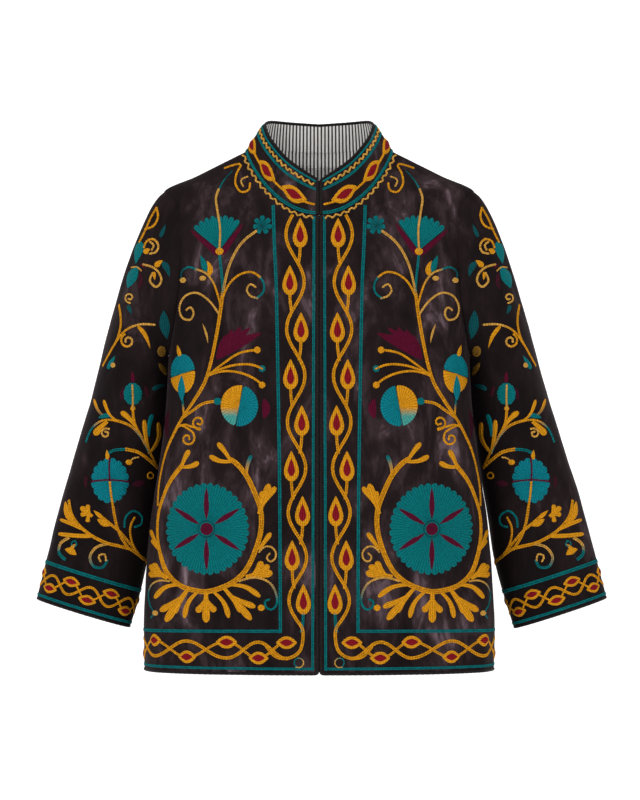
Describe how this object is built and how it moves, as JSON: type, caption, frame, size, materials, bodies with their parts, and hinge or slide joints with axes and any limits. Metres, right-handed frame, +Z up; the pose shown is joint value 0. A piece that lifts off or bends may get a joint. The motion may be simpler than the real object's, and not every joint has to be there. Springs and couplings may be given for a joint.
{
  "type": "velvet jacket",
  "caption": "Hip-length velvet jacket with a stand collar, edge-to-edge bound fronts and long set-in sleeves, filled out as if worn.",
  "frame": {"origin": "midway between the two points where the shoulder seams meet the collar, where the wearer's shoulders carry the jacket", "axes": "+Z up, the front opening faces -Y, +X towards the wearer's left sleeve"},
  "size_m": [0.7159, 0.2418, 0.6874],
  "materials": {
    "velvet": "cut pile velvet with a crushed sheen",
    "striped_lining": "matt striped cotton",
    "binding": "corded dark cotton"
  },
  "bodies": {
    "root": {"front_left": "velvet", "front_right": "velvet", "back": "velvet", "sleeve_left": "velvet", "sleeve_right": "velvet", "collar": "velvet", "collar_lining": "striped_lining", "back_neck_lining": "striped_lining", "front_binding_left": "binding", "front_binding_right": "binding", "back_hem_binding": "binding", "cuff_binding_left": "binding", "cuff_binding_right": "binding", "collar_binding": "binding"}
  },
  "joints": []
}
